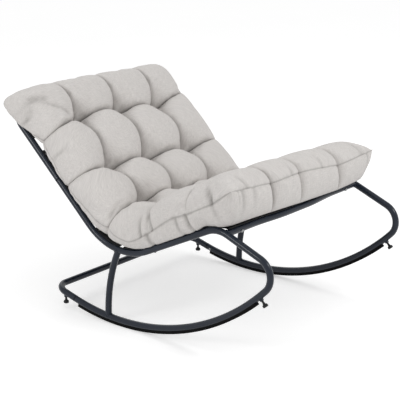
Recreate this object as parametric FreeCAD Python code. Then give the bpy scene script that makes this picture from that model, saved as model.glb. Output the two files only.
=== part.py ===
import FreeCAD
import Part
import os
from math import asin, atan2, ceil, cos, degrees, pi, radians, sin, sqrt, tan

# Outdoor rocking chair: two bent tube sides on rockers, joined by cross tubes, with black
# slings across them, a thick tufted pad on the slings and four screw feet as rocking stops.
# Millimetres. X is the width, the chair faces -Y and Z is up. The origin lies on the floor,
# midway between the rockers and under their lowest points.

# Tubing
tube_diameter = 22.0
tube_wall = 1.5
side_spacing = 715.0
plug_length = 45.0
plug_clearance = 0.15
swage_length = 8.0
weld_gap = 0.2

# Rockers
rocker_radius = 814.0
strip_thickness = 7.0
strip_width = 16.0
strip_gap = 0.15
strip_foot_gap = 23.0
strip_joint_gap = 20.0
strip_peg_diameter = 6.0
strip_peg_depth = 5.0
strip_peg_count = 4
strip_peg_margin = 60.0
rear_joint_angle = 15.3

# Back and seat rails: the crease is where their centre lines would cross
crease_y = 35.0
crease_z = 216.5
back_angle = 43.9
seat_angle = 25.5
crease_bend_radius = 223.0
back_joint_run = 341.0
back_top_run = 628.0
top_corner_radius = 60.0
seat_run = 470.0
front_corner_radius = 100.0
nose_angle = 21.9
nose_bend_radius = 60.0

# Posts between rocker and seat
post_foot_y = 67.0
post_top_y = 18.0
post_bow = 14.0

# Rear cross tube, a U that carries on the line of the rockers
rear_leg_run = 95.0
rear_corner_radius = 45.0

# Front and seat cross tubes on their stubs
stub_length = 95.0
front_bar_run = 36.0
front_bar_bow = 14.0
front_bar_bow_start = 60.0
front_bar_bow_length = 120.0
front_bar_bend_radius = 500.0
seat_bar_run = 185.0

# Fasteners
bolt_diameter = 6.0
bolt_clearance = 0.2
bolt_offset = 68.0
bolt_head_diameter = 10.5
bolt_head_height = 3.3
nut_across_flats = 10.0
nut_height = 5.0
nut_thread_gap = 0.1
bolt_end_length = 1.5
head_rounding_share = 0.55
joint_screw_diameter = 4.8
joint_screw_length = 9.0
joint_screw_offset = 20.0
joint_screw_head_diameter = 9.0
joint_screw_head_height = 3.0
joint_screw_clearance = 0.1

# Slings: a sheet between two hems, each with a flat steel strip screwed on the rail
sheet_thickness = 1.6
hem_width = 14.0
hem_height = 5.0
hem_inset = 3.0
hem_gap = 0.1
hem_strip_width = 10.0
hem_strip_thickness = 2.6
hem_strip_clearance = 0.1
hem_strip_end = 4.0
sling_bend_gap = 3.0
top_strap_width = 58.0
top_strap_gap = 54.0
bend_strap_width = 120.0
bend_strap_back_gap = 27.0
bend_strap_seat_gap = 20.0
back_sling_bend_gap = 20.0
front_hem_margin = 20.0
sling_screw_diameter = 4.0
sling_screw_length = 14.0
sling_screw_head_diameter = 8.0
sling_screw_head_height = 2.2
sling_screw_sink = 0.2
sling_screw_clearance = 0.1
sling_screw_pitch = 120.0
sling_screw_margin = 15.0

# Screw feet: a pivoting pad on a threaded stud in a welded boss
front_foot_setback = 31.0
rear_foot_setback = 2.0
boss_diameter = 13.0
boss_length = 5.5
stud_diameter = 8.0
stud_inner_end = 4.0
stud_clearance = 0.05
stud_hole_clearance = 0.5
pivot_diameter = 5.0
pivot_head_diameter = 7.0
pivot_head_height = 2.0
pivot_length = 6.0
pad_clearance = 0.05
pad_shoulder_gap = 0.3
foot_reach = 38.0
foot_height = 13.0
foot_diameter = 18.0
foot_neck_diameter = 9.5
foot_rim_height = 3.0

# Tufted pad
pad_side_overhang = 10.0
pad_top_overhang = 37.0
pad_front_overhang = 117.0
pad_columns = 4
pad_rows = 6
pad_lift = 0.4
pad_seam_height = 58.0
pad_crown_height = 142.0
pad_channel_height = 108.0
pad_tuft_height = 76.0
pad_draw_in = 14.0
pad_underside_inset = 34.0
pad_side_bulge = 7.0
pad_lip = 4.0
pad_swell_power = 0.7
pad_front_droop = 23.0

# Length by which a cutting shape runs past the face that it opens
overrun = 1.0

vector = FreeCAD.Vector
across = vector(1, 0, 0)
tube_radius = tube_diameter / 2
bore_radius = tube_radius - tube_wall
plug_radius = bore_radius - plug_clearance
half_spacing = side_spacing / 2
sides = {"left": -1, "right": 1}


def heading(angle):
    """Unit direction in the side plane: 0 points to the rear and 90 points up."""
    return vector(0, cos(radians(angle)), sin(radians(angle)))


def bent_path(points, radii=()):
    """Straight runs joined by tangent arcs, with one radius for each inner point."""
    edges = []
    start = points[0]
    for before, corner, after, radius in zip(points, points[1:], points[2:], radii):
        to_before = (before - corner).normalize()
        to_after = (after - corner).normalize()
        half_angle = to_before.getAngle(to_after) / 2
        bisector = (to_before + to_after).normalize()
        enter = corner + to_before * (radius / tan(half_angle))
        leave = corner + to_after * (radius / tan(half_angle))
        middle = corner + bisector * (radius / sin(half_angle) - radius)
        edges.append(Part.LineSegment(start, enter).toShape())
        edges.append(Part.Arc(enter, middle, leave).toShape())
        start = leave
    edges.append(Part.LineSegment(start, points[-1]).toShape())
    return edges


def rod(edges, radius):
    """A round bar along the joined edges."""
    first = edges[0]
    start = first.valueAt(first.FirstParameter)
    direction = first.tangentAt(first.FirstParameter)
    profile = Part.Wire([Part.makeCircle(radius, start, direction)])
    return Part.Wire(edges).makePipeShell([profile], True, False)


def curved_bar(point_at, angles, low, high, low_x, high_x):
    """Bar with a rectangular section round an arc; low and high are its two edges."""
    arcs = []
    for level in (low, high):
        arcs.append(Part.Arc(*[point_at(angle, level) for angle in angles]).toShape())
    ends = []
    for angle in (angles[0], angles[-1]):
        ends.append(Part.LineSegment(point_at(angle, low), point_at(angle, high)).toShape())
    outline = Part.Wire(Part.__sortEdges__([*arcs, *ends]))
    outline.translate(across * low_x)
    return Part.Face(outline).extrude(across * (high_x - low_x))


def turned(place, axis, outline):
    """Solid of revolution about an axis in the side plane, from (distance along, radius) corners."""
    points = [place + axis * along + across * radius for along, radius in outline]
    return Part.Face(Part.makePolygon([*points, points[0]])).revolve(place, axis, 360)


def pin(start, end, diameter):
    """A straight round bar from one point to another."""
    return Part.makeCylinder(diameter / 2, (end - start).Length, start, end - start)


def moved(shape, offset):
    copy = shape.copy()
    copy.translate(offset)
    return copy


def moved_edges(edges, offset):
    return [moved(edge, offset) for edge in edges]


def group(shapes):
    return Part.makeCompound(shapes)


def export(name, shape):
    shape.exportStep("parts/" + name + ".step")
    solids = shape.Solids
    volume = sum(solid.Volume for solid in solids)
    valid = all(solid.isValid() for solid in solids)
    print(f"{name}: {len(solids)} solid, {volume / 1000:.1f} cm3, valid {valid}")


# Side frame centre line, in the plane x = 0
back_direction = heading(back_angle)
back_normal = heading(back_angle + 90)
seat_direction = heading(180 - seat_angle)
seat_normal = heading(90 - seat_angle)
nose_direction = heading(180 + nose_angle)
nose_inward = heading(nose_angle - 90)
crease = vector(0, crease_y, crease_z)
back_joint = crease + back_direction * back_joint_run
front_corner = crease + seat_direction * seat_run
rocker_centre = vector(0, 0, rocker_radius + tube_radius + strip_thickness)

# Bend centre of the crease, square above the two rails' tangent points
crease_half_angle = radians(180 - back_angle - seat_angle) / 2
crease_tangent_run = crease_bend_radius / tan(crease_half_angle)
bend_centre = crease + back_direction * crease_tangent_run + back_normal * crease_bend_radius


def rocker_point(angle, radius=rocker_radius):
    """Point on the rocker's arc; angles count from the lowest point, rear positive."""
    return rocker_centre + heading(angle - 90) * radius


def bend_point(angle, height=0.0):
    """Point in the crease bend, a height inside the centre line; angle 0 is straight down."""
    return bend_centre + heading(angle - 90) * (crease_bend_radius - height)


def back_point(run, height=0.0):
    return crease + back_direction * run + back_normal * height


def seat_point(run, height=0.0):
    return crease + seat_direction * run + seat_normal * height


# The nose bend touches the sloping front run and the inside of the rocker's arc
nose_offset = front_corner + nose_inward * nose_bend_radius - rocker_centre
nose_reach = rocker_radius - nose_bend_radius
nose_along = nose_offset.dot(nose_direction)
nose_run = sqrt(nose_along**2 - nose_offset.dot(nose_offset) + nose_reach**2) - nose_along
nose_start = front_corner + nose_direction * nose_run
nose_centre = nose_start + nose_inward * nose_bend_radius
rocker_front = rocker_centre + (nose_centre - rocker_centre).normalize() * rocker_radius
nose_bisector = (rocker_front + nose_start - nose_centre * 2).normalize()
nose_middle = nose_centre + nose_bisector * nose_bend_radius
rocker_front_angle = degrees(atan2(rocker_front.y, rocker_centre.z - rocker_front.z))
rear_joint = rocker_point(rear_joint_angle)
rocker_middle = rocker_point((rocker_front_angle + rear_joint_angle) / 2)

side_path = bent_path(
    [back_joint, crease, front_corner, nose_start],
    [crease_bend_radius, front_corner_radius],
)
side_path.append(Part.Arc(nose_start, nose_middle, rocker_front).toShape())
side_path.append(Part.Arc(rocker_front, rocker_middle, rear_joint).toShape())
side_tube = rod(side_path, tube_radius).cut(rod(side_path, bore_radius))
side_weld_room = rod(side_path, tube_radius + weld_gap)


def plugged_tube(points, radii, plugs):
    """A tube whose swaged ends plug into sockets; each plug path starts inside the tube."""
    first = (points[1] - points[0]).normalize() * swage_length
    last = (points[-2] - points[-1]).normalize() * swage_length
    bore_points = [points[0] + first, *points[1:-1], points[-1] + last]
    outside = rod(bent_path(points, radii), tube_radius)
    outside = outside.fuse([rod(plug, plug_radius) for plug in plugs])
    bores = [rod(bent_path(bore_points, radii), bore_radius)]
    bores += [rod(plug, plug_radius - tube_wall) for plug in plugs]
    return outside.cut(bores)


# Rear cross tube
rear_direction = heading(rear_joint_angle)
rear_corner = rear_joint + rear_direction * rear_leg_run
plug_angle = degrees(plug_length / rocker_radius)
rear_plug = [
    Part.LineSegment(rear_joint + rear_direction * swage_length, rear_joint).toShape(),
    Part.Arc(
        rear_joint,
        rocker_point(rear_joint_angle - plug_angle / 2),
        rocker_point(rear_joint_angle - plug_angle),
    ).toShape(),
]
left_offset = across * -half_spacing
right_offset = across * half_spacing
rear_points = [
    rear_joint + left_offset,
    rear_corner + left_offset,
    rear_corner + right_offset,
    rear_joint + right_offset,
]
rear_crossbar = plugged_tube(
    rear_points,
    [rear_corner_radius, rear_corner_radius],
    [moved_edges(rear_plug, left_offset), moved_edges(rear_plug, right_offset)],
)

# Top of the back
back_top = back_point(back_top_run)
back_plug = bent_path(
    [back_point(back_joint_run + swage_length), back_point(back_joint_run - plug_length)]
)
back_points = [
    back_joint + left_offset,
    back_top + left_offset,
    back_top + right_offset,
    back_joint + right_offset,
]
back_top_frame = plugged_tube(
    back_points,
    [top_corner_radius, top_corner_radius],
    [moved_edges(back_plug, left_offset), moved_edges(back_plug, right_offset)],
)

# Posts
post_foot = rocker_point(degrees(asin(post_foot_y / rocker_radius)))
post_top = bend_point(degrees(asin((post_top_y - bend_centre.y) / crease_bend_radius)))
post_chord = post_top - post_foot
post_bulge = vector(0, post_chord.z, -post_chord.y).normalize() * post_bow
post_path = [Part.Arc(post_foot, (post_foot + post_top) / 2 + post_bulge, post_top).toShape()]
post = rod(post_path, tube_radius).cut(rod(post_path, bore_radius)).cut(side_weld_room)
post = max(post.Solids, key=lambda solid: solid.Volume)

# Where each sling starts and ends, along the rails or round the bend
hem_bottom = tube_radius + hem_gap
hem_middle = hem_bottom + hem_height / 2
sling_top = hem_bottom + hem_height
sheet_low = hem_middle - sheet_thickness / 2
sheet_high = hem_middle + sheet_thickness / 2
strip_low = hem_middle - hem_strip_thickness / 2
strip_high = hem_middle + hem_strip_thickness / 2
hem_centre_x = half_spacing - hem_inset
front_corner_tangent = front_corner_radius * tan(radians(seat_angle + nose_angle) / 2)
seat_sling_end_run = seat_run - front_corner_tangent - sling_bend_gap
top_strap_end_run = back_top_run - top_corner_radius - sling_bend_gap
top_strap_start_run = top_strap_end_run - top_strap_width
back_sling_start_run = crease_tangent_run + back_sling_bend_gap
back_sling_end_run = top_strap_start_run - top_strap_gap
bend_strap_start_angle = back_angle - degrees(bend_strap_back_gap / crease_bend_radius)
bend_strap_end_angle = bend_strap_start_angle - degrees(bend_strap_width / crease_bend_radius)
seat_sling_start_angle = bend_strap_end_angle - degrees(bend_strap_seat_gap / crease_bend_radius)

# The seat sling's front flap lies in a plane that ends on top of the front tube
stub_end = half_spacing - stub_length
front_bar = front_corner + nose_direction * front_bar_run
seat_bar = seat_point(seat_bar_run)
flap_start = seat_point(seat_sling_end_run, hem_middle)
flap_reach = front_bar - flap_start
flap_rise = atan2(flap_reach.z, -flap_reach.y) + asin(hem_middle / flap_reach.Length)
flap_direction = heading(180 - degrees(flap_rise))
flap_normal = heading(90 - degrees(flap_rise))

# Cross tubes between the side frames; the front one bows forward
bow_start = stub_end - front_bar_bow_start
bow_end = bow_start - front_bar_bow_length
bow_depth = flap_direction * front_bar_bow
bow_radii = [front_bar_bend_radius] * 4


def front_bar_points(half_length):
    return [
        front_bar - across * half_length,
        front_bar - across * bow_start,
        front_bar - across * bow_end + bow_depth,
        front_bar + across * bow_end + bow_depth,
        front_bar + across * bow_start,
        front_bar + across * half_length,
    ]


def stub(axis_point, side):
    """Short socket tube, coped on the rail that it is welded to."""
    path = bent_path([axis_point + across * half_spacing * side, axis_point + across * stub_end * side])
    room = moved(side_weld_room, across * half_spacing * side)
    return rod(path, tube_radius).cut([rod(path, bore_radius), room])


def crossbar(points, radii=()):
    """Tube between two stubs, with a plug in each."""
    plugs = []
    for side, end in ((-1, points[0]), (1, points[-1])):
        outward = across * side
        plugs.append(bent_path([end - outward * swage_length, end + outward * plug_length]))
    return plugged_tube(points, radii, plugs)


front_crossbar = crossbar(front_bar_points(stub_end), bow_radii)
seat_crossbar = crossbar([seat_bar - across * stub_end, seat_bar + across * stub_end])

# Through bolts of the cross tubes, with their heads to the front
front_bolt_places = []
seat_bolt_places = []
for side in sides.values():
    bolt_offset_x = across * (half_spacing - bolt_offset) * side
    front_bolt_places.append((front_bar + bolt_offset_x, nose_direction))
    seat_bolt_places.append((seat_bar + bolt_offset_x, seat_direction))
bolt_places = front_bolt_places + seat_bolt_places


def domed_head(seat, toward_head, diameter, height):
    head = pin(seat, seat + toward_head * height, diameter)
    return head.makeFillet(height * head_rounding_share, [head.Edges[0]])


def bolt(place, toward_head):
    seat = place + toward_head * tube_radius
    tip = place - toward_head * (tube_radius + nut_height + bolt_end_length)
    head = domed_head(seat, toward_head, bolt_head_diameter, bolt_head_height)
    return head.fuse(pin(tip, seat, bolt_diameter))


def nut(place, toward_head):
    seat = place - toward_head * tube_radius
    corner = across * (nut_across_flats / sqrt(3))
    hexagon = []
    for turn in range(7):
        hexagon.append(seat + FreeCAD.Rotation(toward_head, 60 * turn).multVec(corner))
    body = Part.Face(Part.makePolygon(hexagon)).extrude(toward_head * -nut_height)
    far_side = seat - toward_head * (nut_height + overrun)
    return body.cut(pin(seat + toward_head * overrun, far_side, bolt_diameter + 2 * nut_thread_gap))


def bolt_hole(place, toward_head):
    reach = toward_head * (tube_radius + overrun)
    return pin(place - reach, place + reach, bolt_diameter + 2 * bolt_clearance)


front_bolt_holes = [bolt_hole(*place) for place in front_bolt_places]
seat_bolt_holes = [bolt_hole(*place) for place in seat_bolt_places]

# Self-tapping screws in the plug joints, from the inner side of each tube
joint_screw_places = []
for side in sides.values():
    back_place = back_point(back_joint_run - joint_screw_offset)
    rear_place = rocker_point(rear_joint_angle - degrees(joint_screw_offset / rocker_radius))
    for place in (back_place, rear_place):
        joint_screw_places.append((place + across * half_spacing * side, across * -side))


def joint_screw(place, toward_head):
    seat = place + toward_head * tube_radius
    head = domed_head(seat, toward_head, joint_screw_head_diameter, joint_screw_head_height)
    return head.fuse(pin(seat - toward_head * joint_screw_length, seat, joint_screw_diameter))


def joint_screw_hole(place, toward_head):
    outside = place + toward_head * (tube_radius + overrun)
    return pin(place, outside, joint_screw_diameter + 2 * joint_screw_clearance)


joint_screw_holes = [joint_screw_hole(*place) for place in joint_screw_places]


# Slings: every sheet, hem and strip is a bar with one section along a run of rail
def straight_run(point_at, low_run, high_run):
    """Maker of bars along a straight run of the back or the seat."""

    def bar(low_x, high_x, low, high, trim=0.0):
        first = low_run + trim
        last = high_run - trim
        corners = [point_at(first, low), point_at(first, high), point_at(last, high), point_at(last, low)]
        outline = Part.makePolygon([*corners, corners[0]])
        outline.translate(across * low_x)
        return Part.Face(outline).extrude(across * (high_x - low_x))

    return bar


def bend_run(first_angle, last_angle):
    """Maker of bars round the crease bend, from the back towards the seat."""

    def bar(low_x, high_x, low, high, trim=0.0):
        turn = degrees(trim / crease_bend_radius)
        angles = (first_angle - turn, (first_angle + last_angle) / 2, last_angle + turn)
        return curved_bar(bend_point, angles, low, high, low_x, high_x)

    return bar


def spread(length):
    """Screw places along a hem, from margin to margin, no further apart than the pitch."""
    span = length - 2 * sling_screw_margin
    steps = max(1, ceil(span / sling_screw_pitch))
    return [sling_screw_margin + span * step / steps for step in range(steps + 1)]


def straight_screws(point_at, normal, low_run, high_run):
    return [(point_at(low_run + run), normal) for run in spread(high_run - low_run)]


def bend_screws(first_angle, last_angle):
    length = radians(first_angle - last_angle) * crease_bend_radius
    angles = [first_angle - degrees(run / crease_bend_radius) for run in spread(length)]
    return [(bend_point(angle), heading(angle + 90)) for angle in angles]


top_strap_run = straight_run(back_point, top_strap_start_run, top_strap_end_run)
back_sling_run = straight_run(back_point, back_sling_start_run, back_sling_end_run)
bend_strap_run = bend_run(bend_strap_start_angle, bend_strap_end_angle)
seat_bend_run = bend_run(seat_sling_start_angle, -seat_angle)
seat_straight_run = straight_run(seat_point, crease_tangent_run, seat_sling_end_run)
sling_runs = {
    "top_strap": [top_strap_run],
    "back_sling": [back_sling_run],
    "bend_strap": [bend_strap_run],
    "seat_sling": [seat_straight_run, seat_bend_run],
}
rail_screws = {
    "top_strap": straight_screws(back_point, back_normal, top_strap_start_run, top_strap_end_run),
    "back_sling": straight_screws(back_point, back_normal, back_sling_start_run, back_sling_end_run),
    "bend_strap": bend_screws(bend_strap_start_angle, bend_strap_end_angle),
    "seat_sling": straight_screws(seat_point, seat_normal, crease_tangent_run, seat_sling_end_run),
}
head_top = sling_top - sling_screw_sink
head_neck = head_top - sling_screw_head_height
screw_tip = head_top - sling_screw_length


def sling_screw(place, normal):
    shank = sling_screw_diameter / 2
    head = sling_screw_head_diameter / 2
    outline = [(screw_tip, 0), (screw_tip, shank), (head_neck, shank), (head_top, head), (head_top, 0)]
    return turned(place, normal, outline)


def sling_screw_hole(place, normal):
    shank = sling_screw_diameter / 2 + sling_screw_clearance
    head = sling_screw_head_diameter / 2 + sling_screw_clearance
    inner = screw_tip - overrun
    outer = sling_top + overrun
    outline = [(inner, 0), (inner, shank), (head_neck, shank), (head_top, head), (outer, head), (outer, 0)]
    return turned(place, normal, outline)


def hem_span(side, width):
    """Low and high x of a strip of the given width on one rail."""
    centre = hem_centre_x * side
    return centre - width / 2, centre + width / 2


sling_screws = []
rail_holes = {side: [] for side in sides.values()}
back_top_holes = []
hem_strips = []
sling_shapes = {}
pocket_width = hem_strip_width + 2 * hem_strip_clearance
for name, runs in sling_runs.items():
    sheet = [run(-hem_centre_x, hem_centre_x, sheet_low, sheet_high) for run in runs]
    hems = []
    openings = []
    for side in sides.values():
        hems += [run(*hem_span(side, hem_width), hem_bottom, sling_top) for run in runs]
        pocket_low = strip_low - hem_strip_clearance
        pocket_high = strip_high + hem_strip_clearance
        pocket_end = hem_strip_end - hem_strip_clearance
        openings.append(runs[0](*hem_span(side, pocket_width), pocket_low, pocket_high, pocket_end))
        places = [(place + across * hem_centre_x * side, normal) for place, normal in rail_screws[name]]
        holes = [sling_screw_hole(*place) for place in places]
        strip = runs[0](*hem_span(side, hem_strip_width), strip_low, strip_high, hem_strip_end)
        hem_strips.append(strip.cut(holes))
        sling_screws += [sling_screw(*place) for place in places]
        rail_holes[side] += holes
        openings += holes
        if name in ("top_strap", "back_sling"):
            back_top_holes += holes
    sling_shapes[name] = (sheet + hems, openings)

# Front flap of the seat sling, with a hem and a strip along the top of the front tube
front_hem_half = half_spacing - tube_radius - front_hem_margin


def front_hem_bar(half_length, width, height):
    """Bar with a rectangular section that follows the front tube along its top."""
    edges = moved_edges(bent_path(front_bar_points(half_length), bow_radii), flap_normal * hem_middle)
    start = front_bar - across * half_length + flap_normal * hem_middle
    forward = flap_direction * (width / 2)
    upward = flap_normal * (height / 2)
    corners = [start + forward + upward, start - forward + upward, start - forward - upward]
    corners.append(start + forward - upward)
    profile = Part.makePolygon([*corners, corners[0]])
    return Part.Wire(edges).makePipeShell([profile], True, False)


def front_flap():
    """Sheet from the end of the seat rails to the front tube, whose bow its front edge follows."""
    below_middle = flap_normal * (-sheet_thickness / 2)
    edges = bent_path(front_bar_points(front_hem_half), bow_radii)
    edges = moved_edges(edges, flap_normal * hem_middle + below_middle)
    rear = flap_start + below_middle - flap_direction * (sheet_thickness / 2)
    front_right = edges[-1].valueAt(edges[-1].LastParameter)
    front_left = edges[0].valueAt(edges[0].FirstParameter)
    corners = [front_right, rear + across * front_hem_half, rear - across * front_hem_half, front_left]
    edges += [Part.LineSegment(*pair).toShape() for pair in zip(corners, corners[1:])]
    return Part.Face(Part.Wire(Part.__sortEdges__(edges))).extrude(flap_normal * sheet_thickness)


front_screw_places = []
for side in sides.values():
    front_screw_places.append((front_bar + across * (stub_end - sling_screw_margin) * side, flap_normal))
    front_screw_places.append((front_bar + bow_depth + across * (bow_end / 2) * side, flap_normal))
front_holes = [sling_screw_hole(*place) for place in front_screw_places]
sling_screws += [sling_screw(*place) for place in front_screw_places]
front_strip_half = front_hem_half - hem_strip_end
hem_strips.append(front_hem_bar(front_strip_half, hem_strip_width, hem_strip_thickness).cut(front_holes))
front_pocket = front_hem_bar(
    front_strip_half + hem_strip_clearance,
    pocket_width,
    hem_strip_thickness + 2 * hem_strip_clearance,
)
seat_pieces, seat_openings = sling_shapes["seat_sling"]
seat_pieces.extend([front_flap(), front_hem_bar(front_hem_half, hem_width, hem_height)])
seat_openings.extend([front_pocket, *front_holes])

# Screw feet
front_foot_angle = rocker_front_angle + degrees(front_foot_setback / rocker_radius)
front_foot_axis = heading(front_foot_angle - 90)
rear_foot_run = rear_leg_run - rear_corner_radius - rear_foot_setback
rear_foot_place = rear_joint + rear_direction * rear_foot_run
rear_path = bent_path(rear_points, [rear_corner_radius, rear_corner_radius])
rear_weld_room = rod(rear_path, tube_radius + weld_gap)
feet = {}
for side_name, side in sides.items():
    offset = across * half_spacing * side
    front_room = moved(side_weld_room, offset)
    feet["front_" + side_name] = (rocker_point(front_foot_angle) + offset, front_foot_axis, front_room)
    feet["rear_" + side_name] = (rear_foot_place + offset, heading(-90), rear_weld_room)
foot_top = foot_reach - foot_height
pivot_end = foot_top + pivot_length
stud_radius = stud_diameter / 2
pivot_radius = pivot_diameter / 2
pivot_head_radius = pivot_head_diameter / 2
boss_end = tube_radius + boss_length


def foot_stud(place, axis):
    shoulder = foot_top - pad_shoulder_gap
    head_start = pivot_end - pivot_head_height
    outline = [
        (stud_inner_end, 0),
        (stud_inner_end, stud_radius),
        (shoulder, stud_radius),
        (shoulder, pivot_radius),
        (head_start, pivot_radius),
        (head_start, pivot_head_radius),
        (pivot_end, pivot_head_radius),
        (pivot_end, 0),
    ]
    return turned(place, axis, outline)


def foot_pad(place, axis):
    bore = pivot_radius + pad_clearance
    head_bore = pivot_head_radius + pad_clearance
    head_start = pivot_end - pivot_head_height - pad_shoulder_gap
    outline = [
        (foot_top, bore),
        (foot_top, foot_neck_diameter / 2),
        (foot_reach - foot_rim_height, foot_diameter / 2),
        (foot_reach, foot_diameter / 2),
        (foot_reach, 0),
        (pivot_end + pad_shoulder_gap, 0),
        (pivot_end + pad_shoulder_gap, head_bore),
        (head_start, head_bore),
        (head_start, bore),
    ]
    return turned(place, axis, outline)


def foot_boss(place, axis, weld_room):
    body = pin(place, place + axis * boss_end, boss_diameter).cut(weld_room)
    bore = pin(place, place + axis * (boss_end + overrun), stud_diameter + 2 * stud_clearance)
    return body.cut(bore)


def foot_hole(place, axis):
    return pin(place, place + axis * boss_end, stud_diameter + 2 * stud_hole_clearance)


foot_holes = {name: foot_hole(place, axis) for name, (place, axis, room) in feet.items()}

# Rocker strips, hollowed to sit on the tube, with pegs into its underside
strip_front_angle = front_foot_angle + degrees(strip_foot_gap / rocker_radius)
strip_rear_angle = rear_joint_angle - degrees(strip_joint_gap / rocker_radius)
strip_angles = (strip_front_angle, (strip_rear_angle + strip_front_angle) / 2, strip_rear_angle)
peg_margin_angle = degrees(strip_peg_margin / rocker_radius)
peg_span = strip_rear_angle - strip_front_angle - 2 * peg_margin_angle
peg_steps = max(1, strip_peg_count - 1)
peg_angles = []
for step in range(strip_peg_count):
    peg_angles.append(strip_front_angle + peg_margin_angle + peg_span * step / peg_steps)
floor_radius = rocker_radius + tube_radius + strip_thickness
saddle_radius = rocker_radius + tube_radius / 2


def strip_peg(angle, room=0.0):
    inner = rocker_point(angle, rocker_radius + tube_radius - strip_peg_depth)
    outer = rocker_point(angle, floor_radius - strip_thickness / 2)
    return pin(inner, outer, strip_peg_diameter + 2 * room)


band = curved_bar(rocker_point, strip_angles, saddle_radius, floor_radius, -strip_width / 2, strip_width / 2)
band = band.cut(rod(side_path[-1:], tube_radius + strip_gap))
rocker_strip = band.fuse([strip_peg(angle) for angle in peg_angles])
peg_holes = [strip_peg(angle, strip_gap) for angle in peg_angles]

# Tufted pad: cross-sections with one arc for each column, joined along the sling
pad_bottom = sheet_high + pad_lift
pad_width = side_spacing + 2 * pad_side_overhang
pad_back_run = back_top_run + pad_top_overhang
pad_seat_run = seat_run + pad_front_overhang
pad_bend_radius = crease_bend_radius - pad_seam_height
pad_back_length = pad_back_run - crease_tangent_run
pad_bend_length = radians(back_angle + seat_angle) * pad_bend_radius
pad_seat_start = pad_back_length + pad_bend_length
pad_length = pad_seat_start + pad_seat_run - crease_tangent_run
pad_row_length = pad_length / pad_rows
pad_flap_start = pad_seat_start + seat_sling_end_run - crease_tangent_run
pad_flap_end = pad_flap_start + flap_reach.dot(seat_direction)


def pad_place(along):
    """Point on the rail line and the direction up from the sling, from the top of the back down."""
    if along < pad_back_length:
        return back_point(pad_back_run - along), back_normal
    if along < pad_seat_start:
        angle = back_angle - degrees((along - pad_back_length) / pad_bend_radius)
        return bend_point(angle), heading(angle + 90)
    return seat_point(along - pad_seat_start + crease_tangent_run), seat_normal


def pad_section(along):
    """Closed outline: swell is 0 on a row's seam and 1 mid-row, fullness is 0 at the pad's ends."""
    place, normal = pad_place(along)
    rows_from_top = along / pad_row_length
    swell = abs(sin(pi * rows_from_top)) ** pad_swell_power
    from_end = max(0.0, min(rows_from_top, pad_rows - rows_from_top))
    fullness = sqrt(1 - (1 - 2 * from_end) ** 2) if 2 * from_end < 1 else 1.0
    past_sling = min(1.0, max(0.0, (along - pad_flap_start) / (pad_flap_end - pad_flap_start)))
    lip = pad_lip * (1 - fullness)

    def point(x, height):
        return place + across * x + normal * height

    def eased(height):
        return pad_seam_height + (height - pad_seam_height) * fullness

    edge = pad_width / 2 - pad_draw_in * (1 - swell)
    valley = eased(pad_tuft_height + (pad_channel_height - pad_tuft_height) * swell) + lip
    crest = eased(pad_channel_height + (pad_crown_height - pad_channel_height) * swell) + 2 * lip
    bottom = eased(pad_bottom - pad_front_droop * past_sling) - lip
    pitch = pad_width / pad_columns
    inner_lines = [(pitch * (column - pad_columns / 2), valley) for column in range(1, pad_columns)]
    lines = [(-edge, pad_seam_height), *inner_lines, (edge, pad_seam_height)]
    edges = []
    for left, right in zip(lines, lines[1:]):
        middle = point((left[0] + right[0]) / 2, crest)
        edges.append(Part.Arc(point(*left), middle, point(*right)).toShape())
    under = edge - pad_underside_inset
    bulge_x = (edge + under) / 2 + pad_side_bulge
    bulge_height = (pad_seam_height + bottom) / 2 - pad_side_bulge * fullness
    right_side = (point(edge, pad_seam_height), point(bulge_x, bulge_height), point(under, bottom))
    left_side = (point(-under, bottom), point(-bulge_x, bulge_height), point(-edge, pad_seam_height))
    edges.append(Part.Arc(*right_side).toShape())
    edges.append(Part.LineSegment(point(under, bottom), point(-under, bottom)).toShape())
    edges.append(Part.Arc(*left_side).toShape())
    return Part.Wire(edges)


# Sections in each row, close to both ends of the pad, and where the flap starts and ends
row_steps = (0.0, 0.2, 0.5, 0.8)
end_step = 0.05
pad_stations = {pad_row_length * (row + step) for row in range(pad_rows) for step in row_steps}
pad_stations |= {pad_row_length * end_step, pad_length - pad_row_length * end_step, pad_length}
pad_stations |= {pad_flap_start, pad_flap_end}
cushion = Part.makeLoft([pad_section(along) for along in sorted(pad_stations)], True, True)

# Write one file for each named piece
os.makedirs("parts", exist_ok=True)
for side_name, side in sides.items():
    offset = across * half_spacing * side
    holes = joint_screw_holes + rail_holes[side] + [moved(hole, offset) for hole in peg_holes]
    holes.append(foot_holes["front_" + side_name])
    export(side_name + "_side_frame", moved(side_tube, offset).cut(holes))
    export(side_name + "_post", moved(post, offset))
    export(side_name + "_rocker_strip", moved(rocker_strip, offset))
    export("front_" + side_name + "_stub", stub(front_bar, side).cut(front_bolt_holes))
    export("seat_" + side_name + "_stub", stub(seat_bar, side).cut(seat_bolt_holes))
export("back_top_frame", back_top_frame.cut(joint_screw_holes + back_top_holes))
rear_holes = [foot_holes["rear_" + side_name] for side_name in sides]
export("rear_crossbar", rear_crossbar.cut(joint_screw_holes + rear_holes))
export("front_crossbar", front_crossbar.cut(front_bolt_holes + front_holes))
export("seat_crossbar", seat_crossbar.cut(seat_bolt_holes))
export("crossbar_bolts", group([bolt(*place) for place in bolt_places]))
export("crossbar_nuts", group([nut(*place) for place in bolt_places]))
export("joint_screws", group([joint_screw(*place) for place in joint_screw_places]))
for name, (pieces, openings) in sling_shapes.items():
    export(name, pieces[0].fuse(pieces[1:]).cut(openings).removeSplitter())
export("hem_strips", group(hem_strips))
export("sling_screws", group(sling_screws))
export("foot_bosses", group([foot_boss(*foot) for foot in feet.values()]))
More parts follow.
